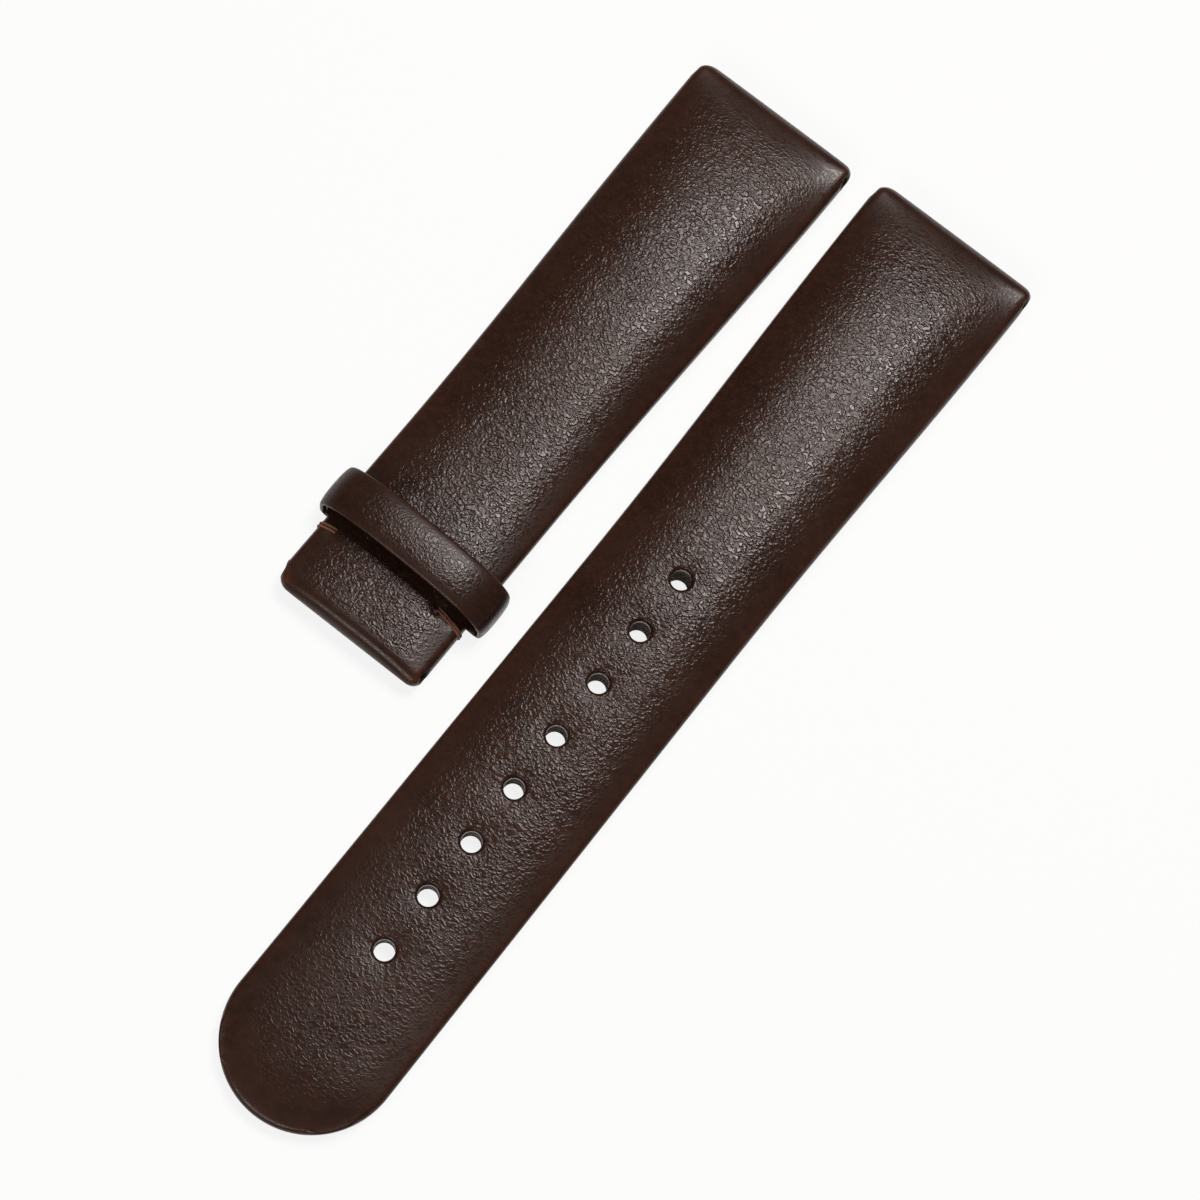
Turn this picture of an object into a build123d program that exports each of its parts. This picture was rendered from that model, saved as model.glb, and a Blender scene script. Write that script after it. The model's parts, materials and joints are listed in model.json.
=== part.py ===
from collections import namedtuple
from math import asin, cos, degrees, pi
import os

from build123d import *

os.makedirs("parts", exist_ok=True)

# A padded leather watch strap in two halves that lie side by side, tops up.
# X runs across the halves, +Y points to their lug ends, and the floor is z = 0.
# Every place along a half is a run: its distance from that half's lug end.

# Plan of the halves
lug_width = 20.0
tail_width = 18.0
taper_run = 52.0
tail_half_length = 115.0
buckle_half_length = 72.5
half_spacing = 22.8
buckle_half_set_back = 1.0

# Plies, from the floor up
lining_thickness = 0.6
hem_thickness = 0.5
stay_thickness = 0.4
upper_thickness = 0.85
side_thickness = 0.8
glue_line = 0.04

# Padded profile: the crown's height over the floor, and its rise above the edges
swell_height = 5.1
swell_run = 17.0
tail_height = 2.8
tail_fall_run = 100.0
buckle_fall_run = 56.0
lug_crown_rise = 0.35
swell_crown_rise = 2.0
tail_crown_rise = 0.5
buckle_crown_rise = 0.5

# Edges of a cross-section, outside and inside the turned upper
edge_round = 0.5
hem_round = 0.35
side_bulge_share = 0.5

# Folded noses round the bar channels
lug_channel_radius = 0.95
clasp_channel_radius = 0.8
nose_leather = 0.5
tape_thickness = 0.2
tape_recess = 0.3
tape_leg_run = 9.0
clasp_leg_run = 5.6

# Turned hems, flaps and lining margins
hem_width = 4.5
lug_flap = 10.0
clasp_flap = 6.2
lining_inset = 0.9
lining_set_back = 3.0

# Punched holes in the tail half
hole_count = 8
hole_pitch = 6.7
hole_radius = 1.05
last_hole_from_tip = 19.7

# Keeper: a leather arch whose feet are tucked under the hems
keeper_width = 5.35
keeper_from_end = 8.1
keeper_band_thickness = 0.7
keeper_lining_thickness = 0.35
keeper_side_clearance = 0.3
keeper_tail_clearance = 0.4
keeper_corner_radius = 3.0
keeper_crown = 0.9
keeper_edge_round = 0.3
keeper_foot_length = 3.4
keeper_foot_thickness = 0.35
keeper_floor_gap = 0.25

# Tacks: two turns of thread over each edge, beside the keeper
thread_radius = 0.15
thread_sides = 8
thread_gap = 0.08
tack_turn_spacing = 0.4
tack_from_keeper = 0.6
tack_reach_right = 3.4
tack_reach_left = 2.0
tack_corner_radius = 0.45
tack_floor_gap = 0.25

# One overrun for cuts that pass right through, and the slices that shape a half
overrun = 1.0
slice_count = 12

# Heights and places that follow from the sizes above
upper_base = lining_thickness + glue_line
padding_base = upper_base + hem_thickness
keeper_run = buckle_half_length - keeper_from_end - keeper_width / 2
tail_radius = tail_width / 2

Half = namedtuple("Half", "x y length end_height end_rise fall_run lug_radius end_radius")


def nose_radius(channel_radius):
    """Outer radius of the fold that holds a bar channel."""
    return channel_radius + tape_thickness + nose_leather


def nose_middle(channel_radius):
    """Height of a bar channel's axis over the floor."""
    return upper_base + nose_radius(channel_radius)


def nose_top(channel_radius):
    """Height of the top of a folded nose over the floor."""
    return upper_base + 2 * nose_radius(channel_radius)


def ease(share):
    """A smooth step from 0 to 1."""
    share = min(max(share, 0), 1)
    return (1 - cos(pi * share)) / 2


def width_at(run):
    """Width of a half at a run."""
    return lug_width - (lug_width - tail_width) * ease(run / taper_run)


# The two halves in plan: the box round both is centred on the origin
keeper_reach = (
    width_at(keeper_run) / 2
    + keeper_side_clearance + keeper_lining_thickness + keeper_band_thickness
)
tail_half_x = (half_spacing + max(keeper_reach, lug_width / 2) - lug_width / 2) / 2
tail_half = Half(
    tail_half_x, tail_half_length / 2, tail_half_length,
    tail_height, tail_crown_rise, tail_fall_run, lug_channel_radius, None,
)
buckle_half = Half(
    tail_half_x - half_spacing, tail_half_length / 2 - buckle_half_set_back, buckle_half_length,
    nose_top(clasp_channel_radius), buckle_crown_rise, buckle_fall_run,
    lug_channel_radius, clasp_channel_radius,
)


def swelled(half, run, lug_value, swell_value, end_value):
    """A size that grows from the nose to the swell and falls away behind it."""
    start = nose_radius(half.lug_radius)
    if run < swell_run:
        return lug_value + (swell_value - lug_value) * ease((run - start) / (swell_run - start))
    fallen = ease((run - swell_run) / (half.fall_run - swell_run))
    return swell_value + (end_value - swell_value) * fallen


def crown_height(half, run):
    """Height of the crown over the floor."""
    return swelled(half, run, nose_top(half.lug_radius), swell_height, half.end_height)


def edge_height(half, run):
    """Height where the crown meets the rounded side."""
    rise = swelled(half, run, lug_crown_rise, swell_crown_rise, half.end_rise)
    return crown_height(half, run) - rise


def slice_plane(half, run):
    """The plane across a half at a run, with its own y pointing up."""
    return Plane(origin=(half.x, half.y - run, 0), x_dir=(1, 0, 0), z_dir=(0, -1, 0))


def slice_sizes(half, run, inset):
    """Half width, and the base's, edge's and top's heights.

    With inset None they are the outside's, and otherwise the padding's, drawn in by inset.
    """
    reach, edge, top = width_at(run) / 2, edge_height(half, run), crown_height(half, run)
    if inset is None:
        return reach, upper_base, edge, top
    drop = upper_thickness + inset
    return reach - side_thickness - inset, padding_base + inset, edge - drop, top - drop


def side_line(reach, base, edge, rounded, side):
    """One side of a slice from its base up: bowed on the outside, upright on the padding."""
    if not rounded:
        return Line((side * reach, base), (side * reach, edge))
    return ThreePointArc(
        (side * (reach - hem_round), base),
        (side * reach, base + (edge - base) * side_bulge_share),
        (side * (reach - edge_round), edge),
    )


def cross_section(half, run, inset):
    """A crowned slice of a half."""
    reach, base, edge, top = slice_sizes(half, run, inset)
    with BuildSketch(slice_plane(half, run)) as section:
        with BuildLine():
            right = side_line(reach, base, edge, inset is None, 1)
            left = side_line(reach, base, edge, inset is None, -1)
            Line(left @ 0, right @ 0)
            ThreePointArc(right @ 1, (0, top), left @ 1)
        make_face()
    return section.sketch


def round_tip(half, run, inset):
    """The rounded tip: the right half of a slice turned half a circle about the tip's centre."""
    reach, base, edge, top = slice_sizes(half, run, inset)
    span = reach if inset is not None else reach - edge_round
    crown_radius = (span**2 + (top - edge)**2) / (2 * (top - edge))
    swing = degrees(asin(span / crown_radius))
    with BuildPart() as tip:
        with BuildSketch(slice_plane(half, run)):
            with BuildLine():
                side = side_line(reach, base, edge, inset is None, 1)
                Line((0, top), (0, base))
                Line((0, base), side @ 0)
                CenterArc((0, top - crown_radius), crown_radius, 90 - swing, swing)
            make_face()
        revolve(axis=Axis((half.x, half.y - run, 0), (0, 0, 1)), revolution_arc=-180)
    return tip.part


def padded_form(half, start, finish, inset=None):
    """The crowned body of a half between two runs, with its rounded tip if it has one."""
    with BuildPart() as form:
        sections = []
        for i in range(slice_count):
            run = start + (finish - start) * i / (slice_count - 1)
            sections.append(cross_section(half, run, inset).face())
        loft(sections=sections)
        if half.end_radius is None:
            add(round_tip(half, finish, inset))
    return form.part


def plan_slab(half, side_inset, start, end_inset, low, high):
    """A flat ply between two heights that follows a half's outline, set in from it."""
    rounded = half.end_radius is None
    finish = half.length - (tail_radius if rounded else end_inset)
    runs = [start + (finish - start) * i / (slice_count - 1) for i in range(slice_count)]
    right = [(width_at(run) / 2 - side_inset, -run) for run in runs]
    left = [(-x, y) for x, y in right]
    with BuildPart() as slab:
        with BuildSketch(Plane((half.x, half.y, low))):
            with BuildLine():
                Line(left[0], right[0])
                Spline(*right)
                if rounded:
                    ThreePointArc(right[-1], (0, end_inset - half.length), left[-1])
                else:
                    Line(right[-1], left[-1])
                Spline(*left)
            make_face()
        extrude(amount=high - low)
    return slab.part


def cross_bar(half, run, height, radius, reach):
    """A round bar across a half."""
    with BuildPart() as bar:
        with Locations(Plane((half.x, half.y - run, height), z_dir=(1, 0, 0))):
            Cylinder(radius, 2 * reach)
    return bar.part


def nose_waste(half, channel_radius, at_end):
    """What lies outside the round fold at one end of a half."""
    radius = nose_radius(channel_radius)
    run = half.length - radius if at_end else radius
    block = radius + overrun
    outward = -1 if at_end else 1
    with BuildPart() as waste:
        with Locations((half.x, half.y - run + outward * block / 2, nose_middle(channel_radius))):
            Box(lug_width + 2 * overrun, block, 2 * block)
        add(
            cross_bar(half, run, nose_middle(channel_radius), radius, lug_width),
            mode=Mode.SUBTRACT,
        )
    return waste.part


def tape_form(half, channel_radius, leg_run, at_end, spare):
    """A bar channel's ring with its doubled leg laid back under the padding, grown by spare."""
    radius = channel_radius + tape_thickness
    height = nose_middle(channel_radius)
    run = half.length - nose_radius(channel_radius) if at_end else nose_radius(channel_radius)
    inward = 1 if at_end else -1
    leg = leg_run - nose_radius(channel_radius) + spare
    reach = width_at(run) / 2 - tape_recess
    leg_thickness = 2 * tape_thickness + 2 * spare
    leg_middle = height - radius + tape_thickness
    with BuildPart() as tape:
        add(cross_bar(half, run, height, radius + spare, reach if not spare else lug_width))
        with Locations((half.x, half.y - run + inward * leg / 2, leg_middle)):
            Box(2 * (reach - side_thickness - glue_line + spare), leg, leg_thickness)
    return tape.part


def loop_tape(half, channel_radius, leg_run, at_end):
    """Thin tape round a bar channel."""
    run = half.length - nose_radius(channel_radius) if at_end else nose_radius(channel_radius)
    with BuildPart() as tape:
        add(tape_form(half, channel_radius, leg_run, at_end, 0))
        add(
            cross_bar(half, run, nose_middle(channel_radius), channel_radius, lug_width),
            mode=Mode.SUBTRACT,
        )
    return tape.part


def hole_punch():
    """All the punched holes as pins, through every ply."""
    last_run = tail_half.length - last_hole_from_tip
    with BuildPart() as punch:
        for i in range(hole_count):
            hole_y = tail_half.y - last_run + i * hole_pitch
            with Locations((tail_half.x, hole_y, swell_height / 2)):
                Cylinder(hole_radius, swell_height + 2 * overrun)
    return punch.part


# Keeper heights and places, which the hems and tacks also follow
keeper_y = buckle_half.y - keeper_run
keeper_top = (
    crown_height(buckle_half, keeper_run) + tail_height + keeper_tail_clearance
    + keeper_lining_thickness + keeper_band_thickness
)
foot_reach = width_at(keeper_run) / 2 - keeper_foot_length
foot_middle = upper_base + hem_thickness / 2
tack_run = keeper_run + keeper_width / 2 + tack_from_keeper


def keeper_loop(inset, width):
    """The keeper's whole outline as a block, set in from its outside."""
    reach = keeper_reach - inset
    low = keeper_floor_gap + inset
    shoulder = keeper_top - inset - keeper_crown
    plane = slice_plane(buckle_half, keeper_run)
    with BuildPart() as block:
        with BuildSketch(plane) as outline:
            with BuildLine():
                Line((-reach, low), (reach, low))
                Line((reach, low), (reach, shoulder))
                ThreePointArc((reach, shoulder), (0, shoulder + keeper_crown), (-reach, shoulder))
                Line((-reach, shoulder), (-reach, low))
            make_face()
            fillet(outline.vertices().group_by(Axis.Y)[-1], keeper_corner_radius - inset)
        extrude(amount=width / 2, both=True)
    return block.part


def keeper_mouth():
    """The space that the strap takes between the keeper's two sides."""
    reach = width_at(keeper_run) / 2 + keeper_side_clearance
    top = crown_height(buckle_half, keeper_run)
    with BuildPart() as mouth:
        with Locations((buckle_half.x, keeper_y, top / 2)):
            Box(2 * reach, keeper_width + 2 * overrun, top)
    return mouth.part


def keeper_feet(spare):
    """The two skived ends that tuck under the hems, grown by spare."""
    inner = foot_reach - spare
    outer = keeper_reach - keeper_band_thickness / 2
    with BuildPart() as feet:
        for side in (-1, 1):
            with Locations((buckle_half.x + side * (inner + outer) / 2, keeper_y, foot_middle)):
                Box(outer - inner, keeper_width - 2 * keeper_edge_round + 2 * spare,
                    keeper_foot_thickness + 2 * spare)
    return feet.part


def tack_route(side, reach_in, run, spare=0):
    """The face that a tack's turn of thread runs round, at a run and grown by spare."""
    edge_reach = width_at(tack_run) / 2
    inner = edge_reach - reach_in
    outer = edge_reach + thread_radius / 2
    top, edge = crown_height(buckle_half, tack_run), edge_height(buckle_half, tack_run)
    inner_top = top - (top - edge) * (inner / (edge_reach - edge_round)) ** 2
    low = tack_floor_gap + thread_radius
    with BuildSketch(slice_plane(buckle_half, run), mode=Mode.PRIVATE) as route:
        with BuildLine():
            Polyline(
                (side * inner, low), (side * outer, low),
                (side * outer, edge), (side * inner, inner_top), close=True,
            )
        make_face()
        fillet(route.vertices(), tack_corner_radius)
        if spare:
            offset(amount=spare)
    return route.sketch


def tack_turns(side, reach_in):
    """Two closed turns of thread over one edge of the strap, beside the keeper."""
    with BuildPart() as turns:
        for turn in (-1, 1):
            route = tack_route(side, reach_in, tack_run + turn * tack_turn_spacing / 2)
            path = route.face().outer_wire()
            with BuildSketch(Plane(origin=path @ 0, z_dir=path % 0)):
                RegularPolygon(thread_radius, thread_sides)
            sweep(path=path)
    return turns.part


def thread_room(side, reach_in):
    """The slot through the plies that both turns of a tack lie in."""
    room = thread_radius + thread_gap
    half_span = tack_turn_spacing / 2 + room
    with BuildPart() as slot:
        extrude(tack_route(side, reach_in, tack_run, room), amount=half_span, both=True)
        core = tack_route(side, reach_in, tack_run, -room)
        extrude(core, amount=half_span, both=True, mode=Mode.SUBTRACT)
    return slot.part


def tack_groove(side, reach_in):
    """The groove in the lining's top where a tack's two turns pass under the hem."""
    room = thread_radius + thread_gap
    inner = width_at(tack_run) / 2 - reach_in - room
    outer = width_at(tack_run) / 2
    depth = lining_thickness - tack_floor_gap + thread_gap
    with BuildPart() as groove:
        with Locations((
            buckle_half.x + side * (inner + outer) / 2,
            buckle_half.y - tack_run,
            lining_thickness - depth / 2,
        )):
            Box(outer - inner, tack_turn_spacing + 2 * room, depth)
    return groove.part


# Shapes that several plies share
tail_start = nose_radius(lug_channel_radius)
tail_finish = tail_half.length - tail_radius
punch = hole_punch()
tail_tape_room = tape_form(tail_half, lug_channel_radius, tape_leg_run, False, glue_line)

buckle_finish = buckle_half.length - nose_radius(clasp_channel_radius)
lug_tape_room = tape_form(buckle_half, lug_channel_radius, tape_leg_run, False, glue_line)
clasp_tape_room = tape_form(buckle_half, clasp_channel_radius, clasp_leg_run, True, glue_line)
feet_room = keeper_feet(glue_line)
right_thread_room = thread_room(1, tack_reach_right)
left_thread_room = thread_room(-1, tack_reach_left)

# Tail half, from its lining up
with BuildPart() as tail_half_lining:
    add(plan_slab(tail_half, lining_inset, lining_set_back, lining_inset, 0, lining_thickness))
    add(punch, mode=Mode.SUBTRACT)
tail_half_lining.part.label = "tail_half_lining"
export_step(tail_half_lining.part, "parts/tail_half_lining.step")

with BuildPart() as tail_half_stay:
    add(plan_slab(
        tail_half, hem_width + glue_line, lug_flap + glue_line, hem_width + glue_line,
        upper_base, upper_base + stay_thickness,
    ))
    add(punch, mode=Mode.SUBTRACT)
tail_half_stay.part.label = "tail_half_stay"
export_step(tail_half_stay.part, "parts/tail_half_stay.step")

with BuildPart() as tail_half_padding:
    add(padded_form(tail_half, tail_start, tail_finish, glue_line))
    add(tail_tape_room, mode=Mode.SUBTRACT)
    add(punch, mode=Mode.SUBTRACT)
tail_half_padding.part.label = "tail_half_padding"
export_step(tail_half_padding.part, "parts/tail_half_padding.step")

with BuildPart() as tail_half_lug_tape:
    add(loop_tape(tail_half, lug_channel_radius, tape_leg_run, False))
tail_half_lug_tape.part.label = "tail_half_lug_tape"
export_step(tail_half_lug_tape.part, "parts/tail_half_lug_tape.step")

with BuildPart() as tail_half_upper:
    add(padded_form(tail_half, 0, tail_finish))
    add(nose_waste(tail_half, lug_channel_radius, False), mode=Mode.SUBTRACT)
    add(padded_form(tail_half, tail_start, tail_finish, 0), mode=Mode.SUBTRACT)
    add(tail_tape_room, mode=Mode.SUBTRACT)
    add(
        plan_slab(tail_half, hem_width, lug_flap, hem_width, 0, padding_base + glue_line),
        mode=Mode.SUBTRACT,
    )
    add(punch, mode=Mode.SUBTRACT)
tail_half_upper.part.label = "tail_half_upper"
export_step(tail_half_upper.part, "parts/tail_half_upper.step")

# Buckle half, from its lining up
with BuildPart() as buckle_half_lining:
    add(plan_slab(
        buckle_half, lining_inset, lining_set_back, lining_set_back, 0, lining_thickness,
    ))
    add(tack_groove(1, tack_reach_right), mode=Mode.SUBTRACT)
    add(tack_groove(-1, tack_reach_left), mode=Mode.SUBTRACT)
buckle_half_lining.part.label = "buckle_half_lining"
export_step(buckle_half_lining.part, "parts/buckle_half_lining.step")

with BuildPart() as buckle_half_stay:
    add(plan_slab(
        buckle_half, hem_width + glue_line, lug_flap + glue_line, clasp_flap + glue_line,
        upper_base, upper_base + stay_thickness,
    ))
buckle_half_stay.part.label = "buckle_half_stay"
export_step(buckle_half_stay.part, "parts/buckle_half_stay.step")

with BuildPart() as buckle_half_padding:
    add(padded_form(buckle_half, tail_start, buckle_finish, glue_line))
    for room in (lug_tape_room, clasp_tape_room, right_thread_room, left_thread_room):
        add(room, mode=Mode.SUBTRACT)
buckle_half_padding.part.label = "buckle_half_padding"
export_step(buckle_half_padding.part, "parts/buckle_half_padding.step")

with BuildPart() as buckle_half_lug_tape:
    add(loop_tape(buckle_half, lug_channel_radius, tape_leg_run, False))
buckle_half_lug_tape.part.label = "buckle_half_lug_tape"
export_step(buckle_half_lug_tape.part, "parts/buckle_half_lug_tape.step")

with BuildPart() as clasp_end_tape:
    add(loop_tape(buckle_half, clasp_channel_radius, clasp_leg_run, True))
clasp_end_tape.part.label = "clasp_end_tape"
export_step(clasp_end_tape.part, "parts/clasp_end_tape.step")

with BuildPart() as buckle_half_upper:
    add(padded_form(buckle_half, 0, buckle_half.length))
    add(nose_waste(buckle_half, lug_channel_radius, False), mode=Mode.SUBTRACT)
    add(nose_waste(buckle_half, clasp_channel_radius, True), mode=Mode.SUBTRACT)
    add(padded_form(buckle_half, tail_start, buckle_finish, 0), mode=Mode.SUBTRACT)
    add(
        plan_slab(buckle_half, hem_width, lug_flap, clasp_flap, 0, padding_base + glue_line),
        mode=Mode.SUBTRACT,
    )
    for room in (lug_tape_room, clasp_tape_room, feet_room, right_thread_room, left_thread_room):
        add(room, mode=Mode.SUBTRACT)
buckle_half_upper.part.label = "buckle_half_upper"
export_step(buckle_half_upper.part, "parts/buckle_half_upper.step")

# Keeper: the band is folded over its own lining, and only its feet reach under the strap
with BuildPart() as keeper_band:
    add(keeper_loop(0, keeper_width))
    fillet(keeper_band.faces().filter_by(Axis.Y).edges(), keeper_edge_round)
    add(keeper_loop(keeper_band_thickness, keeper_width + overrun), mode=Mode.SUBTRACT)
    add(keeper_mouth(), mode=Mode.SUBTRACT)
    add(keeper_feet(0))
keeper_band.part.label = "keeper_band"
export_step(keeper_band.part, "parts/keeper_band.step")

with BuildPart() as keeper_lining:
    add(keeper_loop(keeper_band_thickness + glue_line, keeper_width - 2 * keeper_edge_round))
    add(
        keeper_loop(keeper_band_thickness + keeper_lining_thickness, keeper_width),
        mode=Mode.SUBTRACT,
    )
    add(keeper_mouth(), mode=Mode.SUBTRACT)
    with Locations((buckle_half.x, keeper_y, (padding_base + glue_line) / 2)):
        Box(2 * keeper_reach, keeper_width, padding_base + glue_line, mode=Mode.SUBTRACT)
keeper_lining.part.label = "keeper_lining"
export_step(keeper_lining.part, "parts/keeper_lining.step")

# The tacks that lock the keeper's feet and the turned clasp end
with BuildPart() as right_tack:
    add(tack_turns(1, tack_reach_right))
right_tack.part.label = "right_tack"
export_step(right_tack.part, "parts/right_tack.step")

with BuildPart() as left_tack:
    add(tack_turns(-1, tack_reach_left))
left_tack.part.label = "left_tack"
export_step(left_tack.part, "parts/left_tack.step")
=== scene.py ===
from collections import namedtuple
from functools import lru_cache
import json
from math import atan2, copysign, cos, exp, hypot, pi, radians, sin, sqrt

import bmesh
import bpy
from mathutils import Matrix, Vector, noise


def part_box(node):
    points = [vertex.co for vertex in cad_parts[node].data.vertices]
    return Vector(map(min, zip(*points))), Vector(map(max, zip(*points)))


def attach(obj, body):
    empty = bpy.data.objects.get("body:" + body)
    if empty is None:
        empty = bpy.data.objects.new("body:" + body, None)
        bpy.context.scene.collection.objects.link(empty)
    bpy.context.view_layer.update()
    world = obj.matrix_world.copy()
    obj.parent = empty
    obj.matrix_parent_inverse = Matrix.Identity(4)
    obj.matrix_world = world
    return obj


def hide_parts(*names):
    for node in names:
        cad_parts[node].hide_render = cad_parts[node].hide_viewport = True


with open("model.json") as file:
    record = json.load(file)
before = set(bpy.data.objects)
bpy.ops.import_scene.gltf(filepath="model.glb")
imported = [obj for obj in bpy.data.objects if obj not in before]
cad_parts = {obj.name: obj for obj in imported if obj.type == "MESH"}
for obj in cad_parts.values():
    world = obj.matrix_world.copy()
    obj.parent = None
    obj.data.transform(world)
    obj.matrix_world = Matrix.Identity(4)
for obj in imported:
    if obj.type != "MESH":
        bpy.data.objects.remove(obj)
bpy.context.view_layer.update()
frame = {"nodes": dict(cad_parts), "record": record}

# Pieces are shaped in millimetres and brought to metres when they are finished.
mm = 0.001

# Plan
lug_width, tail_width, taper_run = 20.0, 18.0, 52.0
corner_round_right, corner_round_left = 1.25, 1.9

# Heights over the floor
skin_base = 0.64
swell_height, swell_run, swell_rise = 5.1, 17.0, 2.0
lug_rise, least_rise = 0.35, 0.08
crown_power = 2.6
ramp_bend = 2.6

# Rounded sides
shoulder = 0.95
side_squareness = 2.5

# Top leather
top_thickness, turned_share = 0.85, 0.6
hem_width = 4.5
channel_ring, channel_margin = 1.0, 0.2
clasp_ring, clasp_drop = 0.8, 0.2
channel_depth = 3.2

# Building the skin: welds, how far from its ends it is dressed, and what counts as its crown
weld, same_place, level_slack = 1e-3, 1e-4, 0.01
dressed_from, settled_over = 2, 3
crown_lean, crown_over_base = 0.2, 1

# Unevenness of padding and hide: its height, its waves across and along, and its seed
unevenness = ((0.035, 0.16, 0.11, 0.3), (0.012, 0.5, 0.45, 5.1))

# Punched holes
hole_radius = 1.05
hole_patch, hole_patch_steps = 2.4, 16
hole_rings = (1.08, 1.13, 1.2, 1.28, 1.38, 1.5, 1.64, 1.8, 2.0)
hole_roll = 0.42
hole_wall = 0.42
hole_dish, hole_dish_reach = 0.1, 2.2
pucker_depth, pucker_count, pucker_radius, pucker_spread = 0.022, 13, 1.62, 0.26
hole_patch_slack, rim_slack = 0.05, 0.02
pucker_wander, pucker_waves = 0.8, 3
dimple_reach = 0.62

# Points round and along a half
crown_steps, side_steps, under_steps = 54, 10, 10
row_pitch = 0.45
nose_steps, nose_turn = 8, radians(85)
tip_steps = 64

Half = namedtuple(
    "Half",
    "x lug length end_height end_rise fall_run rise_fall_run lug_nose end_nose "
    "lug_flap end_flap holes pulls",
)


def box_in_mm(node):
    """A node's lowest and highest corners in millimetres."""
    low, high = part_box(node)
    return Vector(low) / mm, Vector(high) / mm


def mount_in_mm(name):
    """A mount's place in millimetres."""
    for mount in frame["record"]["mounts"]:
        if mount["name"] == name:
            return Vector(mount["pos_m"]) / mm


def hole_places():
    """The y of every adjusting hole, from the pairs that the record names."""
    places = []
    for mount in frame["record"]["mounts"]:
        if mount["name"].startswith("adjusting_holes"):
            middle, pitch = mount["pos_m"][1] / mm, mount["dims"]["spacing_y_mm"]
            places += [middle - pitch / 2, middle + pitch / 2]
    return tuple(sorted(places))


def eased(share):
    """A smooth step from 0 to 1."""
    share = min(max(share, 0), 1)
    return (1 - cos(pi * share)) / 2


tail_low, tail_high = box_in_mm("tail_half_upper")
buckle_low, buckle_high = box_in_mm("buckle_half_upper")
right_tack_low, right_tack_high = box_in_mm("right_tack")
_, left_tack_high = box_in_mm("left_tack")
tail_half = Half(
    x=(tail_low.x + tail_high.x) / 2, lug=tail_high.y, length=tail_high.y - tail_low.y,
    end_height=2.8, end_rise=0.6, fall_run=100.0, rise_fall_run=118.0,
    lug_nose=1.65, end_nose=None, lug_flap=10.0, end_flap=None, holes=hole_places(), pulls=(),
)
buckle_x = (buckle_low.x + buckle_high.x) / 2
tack_y = (right_tack_low.y + right_tack_high.y) / 2
# A pull of a tack's thread on the leather is its x, y and depth.
buckle_half = Half(
    x=buckle_x, lug=buckle_high.y, length=buckle_high.y - buckle_low.y,
    end_height=3.64, end_rise=0.5, fall_run=56.0, rise_fall_run=88.0,
    lug_nose=1.65, end_nose=1.5, lug_flap=10.0, end_flap=6.2, holes=(),
    pulls=((right_tack_low.x + 0.25, tack_y + 0.3, 0.36),
           (right_tack_low.x + 0.9, tack_y + 0.2, 0.1),
           (right_tack_low.x + 1.9, tack_y, 0.1),
           (left_tack_high.x - 0.2, tack_y, 0.14)),
)
tip_radius = tail_width / 2


def end_runs(half):
    """The runs where the folded noses, or the round tip, begin."""
    return half.lug_nose, half.length - (half.end_nose or tip_radius)


def reach_at(half, run, hand=1):
    """Half the width at a run on one side, less the rounding of its corners in plan."""
    width = lug_width - (lug_width - tail_width) * eased(run / taper_run)
    corner = corner_round_right if hand > 0 else corner_round_left
    ends = [run] + ([half.length - run] if half.end_nose else [])
    near = min(min(ends), corner)
    return width / 2 - corner + sqrt(max(corner**2 - (corner - near) ** 2, 0))


def swelled(half, run, fall_run, lug_value, swell_value, end_value):
    """A size that grows from the nose to the swell and falls away behind it."""
    if run < swell_run:
        share = (run - half.lug_nose) / (swell_run - half.lug_nose)
        risen = (swell_value - lug_value) * (1 - exp(-ramp_bend * share))
        return lug_value + risen / (1 - exp(-ramp_bend))
    fallen = eased((run - swell_run) / (fall_run - swell_run))
    return swell_value + (end_value - swell_value) * fallen


@lru_cache(maxsize=None)
def section(half, run, hand):
    """A slice of a half on one side: the crown's top height, the rounded side's reach, middle and
    half height, and the turn, x and height at which the crown runs into it with one slope."""
    level = min(run, end_runs(half)[1] if half.end_nose else half.length)
    lug_top = skin_base + 2 * half.lug_nose
    top = swelled(half, level, half.fall_run, lug_top, swell_height, half.end_height)
    rise = swelled(half, level, half.rise_fall_run, lug_rise, swell_rise, half.end_rise)
    edge = top - max(rise, least_rise)
    inner = reach_at(half, run, hand) - shoulder
    middle, tall = (edge + skin_base) / 2, (edge - skin_base) / 2
    x, z = inner, edge
    for _ in range(6):
        slope = (top - z) * crown_power / x
        steepness = (slope * shoulder / tall) ** (side_squareness / (2 * side_squareness - 2))
        turn = atan2(1, steepness)
        x = inner + shoulder * cos(turn) ** (2 / side_squareness)
        z = middle + tall * sin(turn) ** (2 / side_squareness)
    return top, inner, middle, tall, turn, x, z


def nose_at(half, run):
    """Where a run lies on a folded nose: the share of it that is past, and its middle's height."""
    start, finish = end_runs(half)
    if run < start:
        return (start - run) / half.lug_nose, skin_base + half.lug_nose
    if half.end_nose and run > finish:
        return (run - finish) / half.end_nose, skin_base + half.end_nose
    return None


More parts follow.
